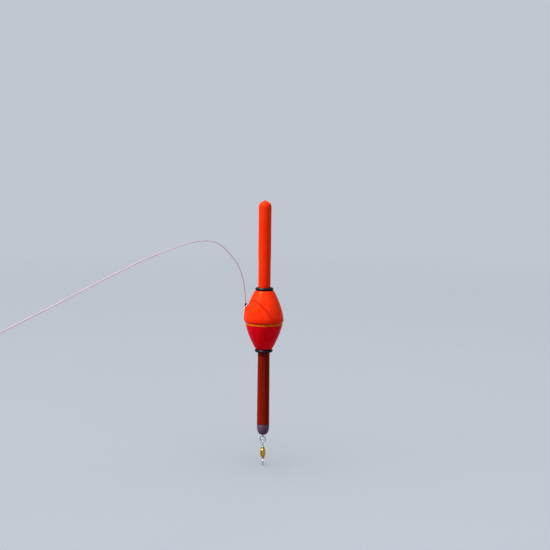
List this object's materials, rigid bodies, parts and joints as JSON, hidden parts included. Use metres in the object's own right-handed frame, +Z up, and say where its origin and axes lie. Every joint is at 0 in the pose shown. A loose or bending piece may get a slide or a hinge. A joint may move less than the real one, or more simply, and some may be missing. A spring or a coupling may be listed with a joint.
{
  "type": "fishing float",
  "caption": "Pear-bodied fishing float with a thick pull-out antenna, rubber rings, a side eye with its line tied on, a ballasted keel and a barrel swivel below.",
  "frame": {"origin": "on the float axis at the level of the water surface that the float stands in", "axes": "+Z up along the antenna, -X towards the side eye, -Y towards the viewer"},
  "size_m": [0.0826, 0.1838, 0.1117],
  "materials": {
    "signal_plastic": "semi-gloss fluorescent orange-red, finely orange-peeled",
    "deep_red_plastic": "glossy deep red",
    "brick_plastic": "glossy brick red",
    "band_plastic": "semi-gloss amber yellow",
    "black_rubber": "glossy wet black",
    "white_nylon": "satin off-white",
    "carbon_tube": "satin black, fine lengthwise grain",
    "smoke_plastic": "satin smoke grey",
    "brass": "turned, slightly tarnished",
    "steel_wire": "drawn wire, polished",
    "monofilament": "clear pinkish grey nylon",
    "knot_line": "dark violet, tightly wound"
  },
  "bodies": {
    "float_body": {"antenna_socket": "white_nylon", "upper_shell": "signal_plastic", "waterline_band": "band_plastic", "lower_shell": "deep_red_plastic", "core_tube": "carbon_tube", "keel_ring": "black_rubber", "keel_tube": "brick_plastic", "keel_ballast": "brass", "keel_plug": "smoke_plastic", "bottom_eye": "steel_wire", "side_eye": "steel_wire", "eye_knot": "knot_line", "fishing_line": "monofilament", "line_end_loop": "monofilament"},
    "antenna": {"antenna_tube": "signal_plastic", "antenna_o_ring": "black_rubber"},
    "swivel_top": {"swivel_top_loop": "steel_wire"},
    "swivel_barrel": {"swivel_barrel": "brass"},
    "swivel_bottom": {"swivel_bottom_loop": "steel_wire"}
  },
  "joints": [
    {"name": "antenna_pull", "type": "slide", "parent": "float_body", "child": "antenna", "axis": [0, 0, 1], "range_m": [0, 0.006]},
    {"name": "swivel_swing", "type": "hinge", "parent": "float_body", "child": "swivel_top", "pos_m": [0, 0, -0.0517], "axis": [1, 0, 0], "range_deg": [-80, 80]},
    {"name": "barrel_spin", "type": "hinge", "parent": "swivel_top", "child": "swivel_barrel", "pos_m": [0, 0, -0.05629], "axis": [0, 0, 1], "continuous": true},
    {"name": "bottom_loop_spin", "type": "hinge", "parent": "swivel_barrel", "child": "swivel_bottom", "pos_m": [0, 0, -0.0603], "axis": [0, 0, 1], "continuous": true}
  ]
}
